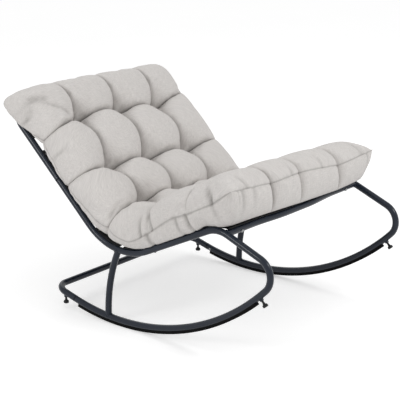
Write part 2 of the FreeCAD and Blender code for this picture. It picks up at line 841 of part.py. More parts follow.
for name, (place, axis, room) in feet.items():
    export(name + "_foot_stud", foot_stud(place, axis))
    export(name + "_foot_pad", foot_pad(place, axis))
    print(f"{name} foot at {place.x:.3f} {place.y:.3f} {place.z:.3f}, axis {axis.y:.5f} {axis.z:.5f}")
export("cushion", cushion)
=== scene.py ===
# %% [markdown]
# # Outdoor rocking chair
# A bent-tube rocking chair with four black slings and one long tufted cushion.
# Tubes and screws come from the imported CAD model and keep their places. The
# cushion and the slings are made again as cloth, and the feet with a thread.
# Stitches, welds, black joint rings of painted shade, finishes, a camera and a studio are added.

# %% Load the frame
from math import cos, pi, radians, sin, tan

import bmesh
import bpy
import numpy as np
from mathutils import Matrix, Vector


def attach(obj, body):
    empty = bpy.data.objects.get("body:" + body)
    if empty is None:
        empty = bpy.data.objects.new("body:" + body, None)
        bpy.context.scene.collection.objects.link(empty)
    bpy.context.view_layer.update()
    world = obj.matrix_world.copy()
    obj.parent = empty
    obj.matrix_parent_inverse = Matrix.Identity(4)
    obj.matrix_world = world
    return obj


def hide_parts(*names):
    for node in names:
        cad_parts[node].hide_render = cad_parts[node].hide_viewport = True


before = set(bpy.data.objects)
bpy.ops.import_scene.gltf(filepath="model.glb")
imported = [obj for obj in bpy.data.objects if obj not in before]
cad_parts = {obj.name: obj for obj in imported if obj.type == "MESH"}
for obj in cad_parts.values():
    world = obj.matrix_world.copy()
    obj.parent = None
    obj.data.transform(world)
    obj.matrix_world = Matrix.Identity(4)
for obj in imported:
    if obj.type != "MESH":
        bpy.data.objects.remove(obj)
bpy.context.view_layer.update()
scene = bpy.context.scene

# %% [markdown]
# ## Lines of the chair
# All cloth follows the side rails: a straight back, a bend and a straight
# seat, drawn in the plane of y and z. One function gives the rail's point and
# its upward direction at any distance, so slings and cushion share it.

# %% Rail line
MM = 0.001
CREASE = np.array([0.035, 0.2165])
BACK_ANGLE, SEAT_ANGLE = radians(43.9), radians(25.5)
BEND_RADIUS = 0.223
BEND_RUN = BEND_RADIUS * tan((BACK_ANGLE + SEAT_ANGLE) / 2)
BEND_LENGTH = BEND_RADIUS * (BACK_ANGLE + SEAT_ANGLE)
BACK_WAY = np.array([cos(BACK_ANGLE), sin(BACK_ANGLE)])
BACK_UP = np.array([-sin(BACK_ANGLE), cos(BACK_ANGLE)])
SEAT_WAY = np.array([-cos(SEAT_ANGLE), sin(SEAT_ANGLE)])
BEND_CENTRE = CREASE + BACK_WAY * BEND_RUN + BACK_UP * BEND_RADIUS
RAIL_X = 0.3575
TUBE_RADIUS = 0.011


def rail_line(along):
    """Rail point and upward direction in (y, z).

    along is the distance from the place where the back meets the bend:
    below 0 the line runs straight up the back, from 0 to BEND_LENGTH it turns
    with BEND_RADIUS, and after that it runs straight along the seat.
    """
    turn = BACK_ANGLE - np.clip(along, 0, BEND_LENGTH) / BEND_RADIUS
    up = np.stack([-np.sin(turn), np.cos(turn)], -1)
    on_back = np.clip(-along, 0, None)[..., None] * BACK_WAY
    on_seat = np.clip(along - BEND_LENGTH, 0, None)[..., None] * SEAT_WAY
    return BEND_CENTRE - up * BEND_RADIUS + on_back + on_seat, up


def lift(x, along, height):
    """Points in space: x across the chair, height above the rail line."""
    point, up = rail_line(along)
    flat = point + up * height[..., None]
    return np.concatenate([np.broadcast_to(x, flat.shape[:-1])[..., None], flat], -1)


print("bend is %.1f mm long" % (BEND_LENGTH / MM))

# %% [markdown]
# ## Turning arrays into pieces
# Each new piece is an array of points and an array of faces. The helpers put
# them into a mesh, store a UV map in metres, and turn the faces outwards by
# looking at the sign of the enclosed volume.

# %% Mesh helpers
def quads(index):
    """Four-sided faces between neighbouring rows and columns of point numbers."""
    corners = [index[:-1, :-1], index[1:, :-1], index[1:, 1:], index[:-1, 1:]]
    return np.stack(corners, -1).reshape(-1, 4)


def make_piece(name, points, faces, material, uv=None):
    """Object at the origin. uv is one (u, v) pair for each corner of each face."""
    mesh = bpy.data.meshes.new(name)
    mesh.from_pydata(np.reshape(points, (-1, 3)).tolist(), [], [list(face) for face in faces])
    if uv is not None:
        layer = mesh.uv_layers.new(name="cloth")
        layer.data.foreach_set("uv", np.asarray(uv, np.float32).ravel())
    shell = bmesh.new()
    shell.from_mesh(mesh)
    if shell.calc_volume(signed=True) < 0:
        bmesh.ops.reverse_faces(shell, faces=shell.faces[:])
    shell.to_mesh(mesh)
    shell.free()
    mesh.polygons.foreach_set("use_smooth", np.full(len(mesh.polygons), True))
    mesh.materials.append(material)
    mesh.update()
    piece = bpy.data.objects.new(name, mesh)
    scene.collection.objects.link(piece)
    return piece


def swept(sections, ring=False):
    """Faces round closed outlines that stand in rows, with end caps or as a ring."""
    rows, count = sections.shape[:2]
    index = np.arange(rows * count).reshape(rows, count)
    index = np.concatenate([index, index[:, :1]], 1)
    if ring:
        return quads(np.concatenate([index, index[:1]], 0)).tolist()
    caps = [index[0, :-1].tolist(), index[-1, -2::-1].tolist()]
    return quads(index).tolist() + caps


# %% [markdown]
# ## Camera
# The camera was solved from the photograph: the two side frames are equal and
# parallel, so their points fix the eye, the direction and the lens.

# %% Camera
EYE = Vector((-3.7248, -3.0168, 1.7888))
RIGHT = Vector((0.625, -0.7807, 0.0))
UP = Vector((0.2243, 0.1796, 0.9578))
LOOK = Vector((0.7477, 0.5986, -0.2873))
lens = bpy.data.cameras.new("studio_camera")
lens.lens = 132.04
lens.sensor_width = 36.0
camera = bpy.data.objects.new("studio_camera", lens)
camera.matrix_world = Matrix.Translation(EYE) @ Matrix((RIGHT, UP, -LOOK)).transposed().to_4x4()
scene.collection.objects.link(camera)
scene.camera = camera
print("camera looks along", [round(value, 3) for value in LOOK])

# %% [markdown]
# ## Shared effects for the finishes
# Two effects are used by several materials, so each is a node group: a plain
# weave with uneven yarns, read from the cloth's own UV map, and a fine
# mottling, read from Object coordinates, for paint, rubber and plastic.

# %% Node helpers
def add_node(tree, kind, settings=None, **links):
    """Node with its settings; links give sockets by name, as a socket or a constant."""
    node = tree.nodes.new("ShaderNode" + kind)
    for name, value in (settings or {}).items():
        setattr(node, name, value)
    for name, value in links.items():
        place = int(name[1:]) if name[0] == "i" and name[1:].isdigit() else name.replace("_", " ")
        if isinstance(value, bpy.types.NodeSocket):
            tree.links.new(value, node.inputs[place])
        else:
            node.inputs[place].default_value = value
    return node


def set_inputs(node, **values):
    """Constants on a node's sockets, by name."""
    for name, value in values.items():
        node.inputs[name.replace("_", " ")].default_value = value


def calculate(tree, operation, *values):
    """Output of one Math node."""
    names = {"i%d" % place: value for place, value in enumerate(values)}
    return add_node(tree, "Math", {"operation": operation}, **names).outputs[0]


def noise(tree, place, scale, detail):
    """Value of one Noise Texture node."""
    return add_node(tree, "TexNoise", Vector=place, Scale=scale, Detail=detail).outputs[0]


def new_group(name, inputs, outputs):
    """Shader node group with named sockets, and what comes in and goes out inside it."""
    group = bpy.data.node_groups.new(name, "ShaderNodeTree")
    for label, kind in inputs:
        group.interface.new_socket(label, in_out="INPUT", socket_type=kind)
    for label, kind in outputs:
        group.interface.new_socket(label, in_out="OUTPUT", socket_type=kind)
    return group, group.nodes.new("NodeGroupInput").outputs, group.nodes.new("NodeGroupOutput").inputs


# %% Weave group
FLOAT, VECTOR = "NodeSocketFloat", "NodeSocketVector"
SLUB_FINE, SLUB_LONG = 420.0, 45.0
YARN_SHADE = 0.1
weave, weave_in, weave_out = new_group(
    "uneven_weave",
    [("Cloth", VECTOR), ("Pitch", FLOAT), ("Slub", FLOAT)],
    [("Height", FLOAT), ("Tone", FLOAT)],
)


def yarn_round(yarns):
    """Height over round yarns: |sin(pi * yarns)|."""
    wave = calculate(weave, "SINE", calculate(weave, "MULTIPLY", yarns, pi))
    return calculate(weave, "ABSOLUTE", wave)


cloth_xy = add_node(weave, "SeparateXYZ", i0=weave_in["Cloth"])
across_yarns = calculate(weave, "DIVIDE", cloth_xy.outputs[0], weave_in["Pitch"])
along_yarns = calculate(weave, "DIVIDE", cloth_xy.outputs[1], weave_in["Pitch"])
warp_round, weft_round = yarn_round(across_yarns), yarn_round(along_yarns)
cells = [calculate(weave, "FLOOR", yarns) for yarns in (across_yarns, along_yarns)]
warp_on_top = calculate(weave, "PINGPONG", calculate(weave, "ADD", *cells), 1.0)
crossing = add_node(weave, "Mix", {"data_type": "FLOAT"}, Factor=warp_on_top, A=weft_round, B=warp_round)
slubs = []
for stretch in ((SLUB_FINE, SLUB_LONG, 1.0), (SLUB_LONG, SLUB_FINE, 1.0)):
    streak = add_node(weave, "VectorMath", {"operation": "MULTIPLY"}, i0=weave_in["Cloth"], i1=stretch)
    slubs.append(noise(weave, streak.outputs[0], 1.0, 3.0))
slub_sum = calculate(weave, "SUBTRACT", calculate(weave, "ADD", *slubs), 1.0)
slub_share = calculate(weave, "MULTIPLY", slub_sum, weave_in["Slub"])
# painted shade: the weave is lighter on the yarns' crowns and darker between them
yarn_shade = calculate(weave, "MULTIPLY_ADD", crossing.outputs[0], YARN_SHADE, -YARN_SHADE / 2)
weave.links.new(calculate(weave, "ADD", crossing.outputs[0], slub_share), weave_out["Height"])
weave.links.new(calculate(weave, "ADD", slub_share, yarn_shade), weave_out["Tone"])
print("group", weave.name)

# %% Mottle group
mottle, mottle_in, mottle_out = new_group(
    "fine_mottle",
    [("Place", VECTOR), ("Fine", FLOAT), ("Broad", FLOAT)],
    [("Grain", FLOAT), ("Cloud", FLOAT)],
)
for output, scale, detail in (("Grain", "Fine", 3.0), ("Cloud", "Broad", 4.0)):
    value = noise(mottle, mottle_in["Place"], mottle_in[scale], detail)
    mottle.links.new(value, mottle_out[output])
print("group", mottle.name)


# %% Material helpers
def new_material(name):
    """Empty material with its Principled shader."""
    material = bpy.data.materials.new(name)
    material.use_nodes = True
    tree = material.node_tree
    return material, tree, tree.nodes["Principled BSDF"]


def tinted(tree, shader, tone, dark, light):
    """Base Color runs from dark to light as tone goes from 0 to 1."""
    colour = add_node(tree, "Mix", {"data_type": "RGBA"}, Factor=tone, i6=(*dark, 1.0), i7=(*light, 1.0))
    tree.links.new(colour.outputs[2], shader.inputs["Base Color"])


def bumped(tree, shader, height, strength, distance):
    """Height raises the surface through a Bump node."""
    bump = add_node(tree, "Bump", Height=height, Strength=strength, Distance=distance)
    tree.links.new(bump.outputs["Normal"], shader.inputs["Normal"])


CLOUD_LOW, CLOUD_HIGH, GRAIN_HEIGHT = 0.3, 0.7, 0.0004


def mottled(name, dark, light, rough, fine, broad, bump, metallic=0.0, gloss=0.5):
    """Finish with cloudy tone and roughness and a fine grain, on Object coordinates."""
    material, tree, shader = new_material(name)
    place = add_node(tree, "TexCoord").outputs["Object"]
    effect = add_node(tree, "Group", {"node_tree": mottle}, Place=place, Fine=fine, Broad=broad)
    tinted(tree, shader, effect.outputs["Cloud"], dark, light)
    roughness = add_node(
        tree, "MapRange", Value=effect.outputs["Cloud"],
        From_Min=CLOUD_LOW, From_Max=CLOUD_HIGH, To_Min=rough[0], To_Max=rough[1],
    )
    tree.links.new(roughness.outputs[0], shader.inputs["Roughness"])
    set_inputs(shader, Metallic=metallic, Specular_IOR_Level=gloss)
    bumped(tree, shader, effect.outputs["Grain"], bump, GRAIN_HEIGHT)
    return material


PLAIN_TONE, YARN_HEIGHT = 0.75, 0.35


def woven(name, dark, light, rough, pitch, slub, bump, fold=None):
    """Cloth with a weave on the piece's own UV map.

    Flat cloth has PLAIN_TONE, and a fold attribute of 1 takes all of it away, as painted shade in the folds.
    """
    material, tree, shader = new_material(name)
    place = add_node(tree, "UVMap", {"uv_map": "cloth"}).outputs[0]
    effect = add_node(tree, "Group", {"node_tree": weave}, Cloth=place, Pitch=pitch, Slub=slub)
    tone = calculate(tree, "ADD", effect.outputs["Tone"], PLAIN_TONE)
    # painted shade: the fold attribute darkens the cloth in its folds
    if fold:
        shade = add_node(tree, "Attribute", {"attribute_name": fold}).outputs["Fac"]
        tone = calculate(tree, "MULTIPLY_ADD", shade, -PLAIN_TONE, tone)
    tinted(tree, shader, tone, dark, light)
    set_inputs(shader, Roughness=rough)
    bumped(tree, shader, effect.outputs["Height"], bump, pitch * YARN_HEIGHT)
    return material, shader


# %% [markdown]
# ## Finishes
# The tubes have a slate-grey powder coat with a satin gloss. Strips, slings
# and feet are black, in rubber, woven textile and moulded plastic. The screws
# are zinc-plated and the studs black steel. The cushion has a pale, slubby
# linen weave. One function makes the mottled finishes and one the cloths.

# %% Finishes
powder_coat = mottled(
    "slate_powder_coat", (0.006, 0.010, 0.019), (0.012, 0.018, 0.031), rough=(0.18, 0.24),
    fine=1500.0, broad=14.0, bump=0.05, gloss=0.3,
)
strip_rubber = mottled(
    "black_rubber", (0.002, 0.002, 0.002), (0.006, 0.006, 0.006), rough=(0.6, 0.8),
    fine=700.0, broad=30.0, bump=0.5, gloss=0.06,
)
foot_plastic = mottled(
    "black_plastic", (0.006, 0.006, 0.006), (0.012, 0.012, 0.013), rough=(0.4, 0.55),
    fine=1200.0, broad=40.0, bump=0.4, gloss=0.25,
)
zinc_steel = mottled(
    "zinc_steel", (0.24, 0.25, 0.26), (0.34, 0.34, 0.34), rough=(0.32, 0.46),
    fine=900.0, broad=120.0, bump=0.2, metallic=1.0,
)
black_steel = mottled(
    "black_steel", (0.016, 0.016, 0.018), (0.032, 0.032, 0.034), rough=(0.30, 0.45),
    fine=900.0, broad=120.0, bump=0.2, metallic=0.6,
)
sling_cloth, sling_shader = woven(
    "sling_textile", (0.003, 0.003, 0.004), (0.015, 0.015, 0.016), rough=0.72,
    pitch=0.0021, slub=0.4, bump=0.8,
)
set_inputs(sling_shader, Specular_IOR_Level=0.15, Sheen_Weight=0.04)
thread = mottled(
    "sewing_thread", (0.010, 0.010, 0.011), (0.022, 0.022, 0.023), rough=(0.6, 0.75),
    fine=2000.0, broad=300.0, bump=0.4, gloss=0.25,
)
# the linen takes painted shade from the cushion's fold attribute
linen, linen_shader = woven(
    "pale_linen", (0.20, 0.187, 0.174), (0.795, 0.763, 0.738), rough=0.92,
    pitch=0.0017, slub=0.42, bump=0.5, fold="fold",
)
set_inputs(linen_shader, Sheen_Weight=0.12, Sheen_Roughness=0.6)

NODE_FINISHES = {
    powder_coat: ("side_frame", "post", "stub", "back_top_frame", "crossbar", "foot_bosses"),
    strip_rubber: ("rocker_strip",),
    zinc_steel: (
        "crossbar_bolts", "crossbar_nuts", "joint_screws", "hem_strips", "sling_screws", "foot_stud",
    ),
    foot_plastic: ("foot_pad",),
    sling_cloth: ("strap", "sling"),
    linen: ("cushion",),
}
for finish, endings in NODE_FINISHES.items():
    for name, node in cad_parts.items():
        if name.endswith(endings):
            for slot in node.material_slots:
                slot.material = finish
print("finished nodes", len(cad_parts))

# %% [markdown]
# ## Cushion: its sewing plan
# The cushion is two linen panels sewn together at the edge and tied through at
# fifteen tufts, which leaves pillows in four columns and six rows. Rows count
# down from the top of the back and columns from the left. The cushion was laid
# on the chair by hand, a little askew, so two small tables shift the crossings
# of the sewn lines to where they lie. Other tables give the height of each
# pillow's crown and of the seam along the four edges.

# %% Cushion plan
COLUMNS, ROWS = 4, 6
PAD_WIDTH, MEAN_SEAM = 0.735, 0.058
PAD_BACK, PAD_SEAT = 0.665 - BEND_RUN, 0.587 - BEND_RUN
PAD_BEND = (BACK_ANGLE + SEAT_ANGLE) * (BEND_RADIUS - MEAN_SEAM)
PAD_LENGTH = PAD_BACK + PAD_BEND + PAD_SEAT
FIELD_WIDTH, FIELD_LENGTH = PAD_WIDTH / COLUMNS, PAD_LENGTH / ROWS
UNDERSIDE = 0.0148
DOWN_SHIFT = MM * np.array([
    [-16, -10, 2, 11, 18], [3, -34, -21, 6, -18], [-13, -9, -5, 12, 14], [0, -49, -28, -12, 0],
    [0, -10, -4, 0, 0], [-6, 0, 0, 0, 0], [0, 0, 0, 0, 0],
])
SIDE_SHIFT = MM * np.array([
    [0, -11, 5, 21, 0], [0, 4, 8, 9, 0], [-12, -19, -16, 7, 0], [-8, 20, 0, 0, 0],
    [-11, 6, 0, 0, 0], [-11, 18, -4, 4, 0], [-6, 30, -14, 8, 0],
])
CROWNS = MM * np.array([
    [112, 120, 120, 114], [122, 127, 125, 117], [124, 128, 127, 119],
    [130, 132, 130, 123], [148, 146, 138, 129], [148, 144, 137, 127],
])
LEFT_ROWS = [0, 0.25, 0.5, 1, 1.5, 2, 2.5, 3, 3.5, 4, 4.6, 5, 5.6, 6]
LEFT_SEAM = MM * np.array([0, 0, 6, 44, 42, 28, 46, 58, 42, 54, 74, 70, 74, 90])
RIGHT_SEAM = MM * np.array([32, 45, 45, 45, 50, 52, 61])
TOP_SEAM = MM * np.array([0, 28, 38, 36, 32])
FRONT_SEAM = MM * np.array([90, 72, 74, 52, 61])
FRONT_DROOP = MM * np.array([0, 13, 21, 26, 18])
LEFT_LINES, RIGHT_LINES = np.array([0.4, 0.45, 0.45, 0.45, 0.12, 0.1, 0.1]), 0.15
print("cushion %.0f x %.0f mm" % (PAD_WIDTH / MM, PAD_LENGTH / MM))


# %% Cushion formulas
def between(values, row, column):
    """Value between the four nearest crossings of the sewn lines, in proportion."""
    i = np.clip(np.floor(row).astype(int), 0, len(values) - 2)
    j = np.clip(np.floor(column).astype(int), 0, len(values[0]) - 2)
    a, b = np.clip(row - i, 0, 1), np.clip(column - j, 0, 1)
    upper = values[i, j] * (1 - b) + values[i, j + 1] * b
    lower = values[i + 1, j] * (1 - b) + values[i + 1, j + 1] * b
    return upper * (1 - a) + lower * a


def ease(value):
    """Smooth step from 0 to 1: 3 v^2 - 2 v^3."""
    value = np.clip(value, 0, 1)
    return value * value * (3 - 2 * value)


def bell(gap, width):
    """Round bump: exp(-(gap / width)^2)."""
    return np.exp(-(gap / width) ** 2)


def fade(gap, width):
    """Sharp ridge: exp(-gap / width)."""
    return np.exp(-gap / width)


def rounding(share, power, root):
    """Rounded shoulder: 0 at the edge, 1 from share 1 on, (1 - (1 - share)^power)^root."""
    return (1 - (1 - np.clip(share, 0, 1)) ** power) ** root


def to_rail(down):
    """Distance along the rail line that belongs to a distance down the cushion."""
    spare, seat_end = 0.1, BEND_LENGTH + PAD_SEAT
    marks = [-spare, 0, PAD_BACK, PAD_BACK + PAD_BEND, PAD_LENGTH, PAD_LENGTH + spare]
    places = [-PAD_BACK - spare, -PAD_BACK, 0, BEND_LENGTH, seat_end, seat_end + spare]
    return np.interp(down, marks, places)


def to_edges(row, column):
    """Distances in metres to the nearer end seam and to the nearer side seam."""
    to_end = np.minimum(row, ROWS - row) * FIELD_LENGTH
    return to_end, np.minimum(column, COLUMNS - column) * FIELD_WIDTH


def line_distances(row, column):
    """Distances in metres to the nearest sewn row line and column line inside the edge."""
    near_row = np.clip(np.round(row), 1, ROWS - 1)
    near_column = np.clip(np.round(column), 1, COLUMNS - 1)
    return np.abs(row - near_row) * FIELD_LENGTH, np.abs(column - near_column) * FIELD_WIDTH


def line_share(row, column):
    """How much of a row line's depth is left at the nearer side seam."""
    left = np.interp(row, np.arange(ROWS + 1), LEFT_LINES)
    return np.where(column < COLUMNS / 2, left, RIGHT_LINES)


def line_left(row, column, width):
    """Share of a row line's depth: line_share at the seam, 1 from width on."""
    share = line_share(row, column)
    return share + (1 - share) * ease(to_edges(row, column)[1] / width)


# %% Cushion outline
ROLL, ROLL_WAY = 0.0026, 0.004
TOP_CORNER, FRONT_CORNER, BLUNT, FRONT_REACH = 0.010, 0.015, 0.010, 0.008
SIDE_DRAW, END_DRAW, TOP_DRAW = 0.016, 0.010, 0.22
PINCH, PINCH_WIDTH = 0.024, 0.008


def seam_roll(gap):
    """Outward roll beside the seam: ROLL * w * exp(1 - w).

    w is the way up the panel, about 0.32 * sqrt(0.1 m * gap), over ROLL_WAY.
    """
    way_up = 0.32 * np.sqrt(np.maximum(gap, 0) * 0.1) / ROLL_WAY
    return ROLL * way_up * np.exp(1 - way_up)


def gathers(way, main, sway, slow, fine):
    """Uneven small folds along a seam, 1 on average: a swaying sine and a finer one."""
    return 1 + 0.45 * np.sin(way * main + sway * np.sin(way * slow)) + 0.25 * np.sin(way * fine)


def plan(row, column):
    """Place on the cloth: x across and the distance down from the top edge.

    The front corners reach out and the top ones are blunt. A sewn line draws
    the edge in, broadly and with a narrow pinch. Beside the seam both panels
    roll outwards in small gathers, so it lies in a groove.
    """
    to_end, to_side = to_edges(row, column)
    row_gap, column_gap = line_distances(row, column)
    at_top = row < ROWS / 2
    corner = np.where(at_top, TOP_CORNER, FRONT_CORNER) * bell(to_end, 0.11)
    blunt = np.where(at_top, BLUNT, 0.0) * fade(to_side + to_end, 0.015)
    share = line_share(row, column)
    half = PAD_WIDTH / 2 + corner - blunt - SIDE_DRAW * share * bell(row_gap, 0.035)
    half -= PINCH * share * np.exp(-row_gap / PINCH_WIDTH - to_side / 0.045)
    x = (2 * column / COLUMNS - 1) * half + between(SIDE_SHIFT, row, column)
    end_draw = END_DRAW * bell(column_gap, 0.03) + PINCH * fade(column_gap, PINCH_WIDTH)
    end_reach = np.where(at_top, 0.0, FRONT_REACH) * fade(to_side, 0.07)
    end_reach -= end_draw * np.where(at_top, TOP_DRAW, 1.0)
    down = row * FIELD_LENGTH + between(DOWN_SHIFT, row, column)
    down += np.where(at_top, -1.0, 1.0) * (end_reach * fade(to_end, 0.05) - blunt)
    side_roll = seam_roll(to_side) * gathers(down, 148, 2.1, 31, 271) * ease(to_end / 0.03)
    end_roll = seam_roll(to_end) * gathers(x, 152, 1.7, 27, 263) * ease(to_side / 0.03)
    x += np.sign(column - COLUMNS / 2) * side_roll
    down += np.sign(row - ROWS / 2) * end_roll
    return x, down


def seam_height(row, column):
    """Height of the seam beside a place: side and end seams, mixed by nearness."""
    to_end, to_side = to_edges(row, column)
    left = np.interp(row, LEFT_ROWS, LEFT_SEAM)
    right = np.interp(row, np.arange(ROWS + 1), RIGHT_SEAM)
    top = np.interp(column, np.arange(COLUMNS + 1), TOP_SEAM)
    front = np.interp(column, np.arange(COLUMNS + 1), FRONT_SEAM)
    side = np.where(column < COLUMNS / 2, left, right)
    end = np.where(row < ROWS / 2, top, front)
    weight = to_side / np.maximum(to_side + to_end, 1e-9)
    return side * (1 - weight) + end * weight


# %% [markdown]
# ## Cushion: the two panels
# Between the sewn lines the upper panel swells to its crown. A sewn line is a
# broad hollow with a narrow fold in it, shallower half-way between two tufts,
# and a tuft is a pit where two lines cross. Towards the edges the lines get
# shallow, as the filling there is free.
# The lower panel lies flat on the slings, is dimpled where the ties pull it,
# and droops in front of the front tube. Both panels share one grid, so their
# outer points can be one seam.

# %% Cushion panels
FOLD, HOLLOW, PIT = 0.028, 0.036, 0.034
FOLD_WIDTH, PIT_RADIUS = 0.0065, 0.042
SIDE_SHOULDER, END_SHOULDER = 0.105, 0.1
WALL, OVERHANG, TAPER, DIMPLE, HEM_RISE = 0.022, 0.011, 0.05, 0.012, 0.0042
FLAP_START, FLAP_RUN, FLAP_DROP = 0.423, 0.071, 0.023
HANG_START, HANG_RUN = 0.515, 0.03
UPPER_PUCKERS = np.array([
    # row and column of the deep end and of the shallow end, depth and half width in mm
    [3.8, 0, 3.8, 0.17, 10, 5], [4.1, 0, 4.02, 0.13, 10, 5], [4.02, 0.1, 3.9, 0.34, 4, 7],
    [5.58, 0, 5.42, 0.16, 14, 6], [0.87, 0.66, 0.66, 0.48, 8, 6], [0.66, 0.48, 0.44, 0.28, 7, 6],
    [0.42, 0.38, 0.34, 0.22, 6, 12], [0.34, 0.22, 0.4, 0.06, 6, 12], [0.56, 0.03, 0.48, 0.12, 8, 6],
    [1.46, 0, 1.4, 0.2, 5, 6], [2.93, 0.1, 2.84, 0.36, 5, 7], [0.9, 3.98, 0.8, 3.7, 5, 7],
    [6, 0.36, 5.86, 0.38, 6, 5], [6, 1.62, 5.87, 1.6, 4, 5], [6, 2.5, 5.88, 2.52, 4, 5],
    [6, 3.66, 5.8, 3.6, 6, 6],
])
LOWER_PUCKERS = np.array([
    [3.93, 0, 4.06, 0.1, 8, 5], [4.69, 0, 4.8, 0.1, 7, 5], [4.93, 0, 5.05, 0.12, 9, 5],
    [5.58, 0, 5.62, 0.1, 6, 5], [6, 0.16, 5.86, 0.18, 5, 4], [6, 0.25, 5.84, 0.27, 6, 4],
    [6, 0.5, 5.88, 0.52, 4, 4], [6, 3.8, 5.85, 3.76, 5, 5],
])


def sewn_line(gap, share, other_share, fold, hollow):
    """Narrow fold in a broad hollow that is shallower half-way between two tufts."""
    broad = hollow * (1 - rounding(share, 2.0, 0.8)) * (1 - 0.6 * ease(other_share))
    return fold * fade(gap, FOLD_WIDTH) + broad


def upper_panel(row, column):
    """Crown less the sewn lines, brought down to the seam by rounded shoulders."""
    to_end, to_side = to_edges(row, column)
    row_gap, column_gap = line_distances(row, column)
    crown = between(CROWNS, row - 0.5, column - 0.5)
    row_share, column_share = row_gap / FIELD_LENGTH * 2, column_gap / FIELD_WIDTH * 2
    column_fold = FOLD * np.interp(row, [4.3, 5, 5.7, 6], [1, 0.6, 0.6, 1])
    column_hollow = HOLLOW * np.interp(row, [0, 1, 4.3, 5, 6], [0.3, 1, 1, 0.3, 0.3])
    row_line = sewn_line(row_gap, row_share, column_share, FOLD, HOLLOW)
    column_line = sewn_line(column_gap, column_share, row_share, column_fold, column_hollow)
    row_line *= line_left(row, column, 0.16)
    column_line *= np.where(row < 1, 0.4 + 0.6 * ease(to_end / 0.15), 1.0)
    lines = np.cbrt(row_line ** 3 + column_line ** 3)
    pit = PIT * bell(np.hypot(row_gap, column_gap), PIT_RADIUS)
    shoulder = rounding(to_side / SIDE_SHOULDER, 2.2, 0.55) * rounding(to_end / END_SHOULDER, 2.2, 0.5)
    seam = seam_height(row, column)
    return seam + (crown - lines - pit - seam) * shoulder


def lower_panel(row, column):
    """Flat underside with a steep wall up to the seam.

    It drops with the sling's flap, hangs down before the front tube and, on
    the left of the seat, a little over the rail. The right front corner tapers.
    """
    to_end, to_side = to_edges(row, column)
    seat_run = row * FIELD_LENGTH - PAD_BACK - PAD_BEND + BEND_RUN
    hang = np.interp(column, np.arange(COLUMNS + 1), FRONT_DROOP)
    droop = FLAP_DROP * np.clip((seat_run - FLAP_START) / FLAP_RUN, 0, 1)
    droop += hang * ease((seat_run - HANG_START) / HANG_RUN)
    dimple = DIMPLE * bell(np.hypot(*line_distances(row, column)), 0.03)
    on_left = column < COLUMNS / 2
    over_rail = on_left * ease((row - 3.2) / 0.7) * ease((5.3 - row) / 0.3)
    taper = ~on_left * ease((row - 5.2) / 0.7)
    wall = WALL - OVERHANG * over_rail + TAPER * taper
    shoulder = rounding(to_side / wall, 2.2, 0.5) * rounding(to_end / 0.075, 2.1, 0.55)
    over_hem = HEM_RISE * ease(1.6 - to_side / 0.03)
    over_hem -= OVERHANG * over_rail * ease((0.018 - to_side) / 0.006)
    seam = seam_height(row, column)
    return seam + (UNDERSIDE - droop + dimple + over_hem - seam) * shoulder


def pucker_depth(puckers, row, column):
    """Sum of short grooves: depth * (1 - 0.7 share) * exp(-(gap to the segment / half width)^2)."""
    total = np.zeros_like(row)
    for row0, column0, row1, column1, depth, half in puckers:
        long_way, cross_way = (row1 - row0) * FIELD_LENGTH, (column1 - column0) * FIELD_WIDTH
        down, across = (row - row0) * FIELD_LENGTH, (column - column0) * FIELD_WIDTH
        share = np.clip((down * long_way + across * cross_way) / (long_way ** 2 + cross_way ** 2), 0, 1)
        gap = np.hypot(down - share * long_way, across - share * cross_way)
        total += MM * depth * (1 - 0.7 * share) * bell(gap, half * MM)
    return total


def upward(points):
    """Unit normals of a grid of points, on the upper side."""
    normal = np.cross(np.gradient(points, axis=0), np.gradient(points, axis=1))
    return normal / np.maximum(np.linalg.norm(normal, axis=-1, keepdims=True), 1e-12)


# %% Cushion mesh
FIELD_STEPS, UV_APART = 22, 2.0


def line_steps(fields):
    """Grid lines, closer together beside each sewn line and closest at the seam."""
    share = np.arange(FIELD_STEPS) / FIELD_STEPS
    share = 0.75 * (0.5 - 0.5 * np.cos(pi * share)) + 0.25 * share
    lines = np.append((np.arange(fields)[:, None] + share).ravel(), fields)
    beside_seam = np.array([0.0004, 0.002, 0.006])
    return np.sort(np.concatenate([lines, beside_seam, fields - beside_seam]))


def cloth_lengths(points):
    """UV in metres: lengths measured over the surface, from the middle column and the top."""
    across = np.cumsum(np.linalg.norm(np.diff(points, axis=1, prepend=points[:, :1]), axis=2), axis=1)
    down = np.cumsum(np.linalg.norm(np.diff(points, axis=0, prepend=points[:1]), axis=2), axis=0)
    return np.stack([across - across[:, points.shape[1] // 2, None], down], -1)


def seam_ways(points):
    """Way over the surface from each point of a grid to the nearest seam."""
    across, down = np.moveaxis(cloth_lengths(points), -1, 0)
    sides = np.minimum(across - across[:, :1], across[:, -1:] - across)
    return np.minimum(sides, np.minimum(down, down[-1:] - down))


row, column = np.meshgrid(line_steps(ROWS), line_steps(COLUMNS), indexing="ij")
pad_x, pad_down = plan(row, column)
pad_rail = to_rail(pad_down)
upper = lift(pad_x, pad_rail, upper_panel(row, column))
lower = lift(pad_x, pad_rail, lower_panel(row, column))
upper_pucker = pucker_depth(UPPER_PUCKERS, row, column)
lower_pucker = pucker_depth(LOWER_PUCKERS, row, column)
upper = upper - upward(upper) * upper_pucker[..., None]
lower = lower + upward(lower) * lower_pucker[..., None]
edge = (row == 0) | (row == ROWS) | (column == 0) | (column == COLUMNS)
upper[edge] = lower[edge]
upper_index = np.arange(row.size).reshape(row.shape)
lower_index = upper_index.copy()
lower_index[~edge] = row.size + np.arange((~edge).sum())
pad_points = np.concatenate([upper.reshape(-1, 3), lower[~edge]])
pad_faces = np.concatenate([quads(upper_index), quads(lower_index)[:, ::-1]])
pad_uv = np.concatenate([
    cloth_lengths(upper).reshape(-1, 2)[quads(upper_index)],
    cloth_lengths(lower).reshape(-1, 2)[quads(upper_index)[:, ::-1]] + [UV_APART, 0.0],
])
cushion = make_piece("tufted_cushion", pad_points, pad_faces, linen, pad_uv)
print("cushion mesh", len(pad_points), "points")

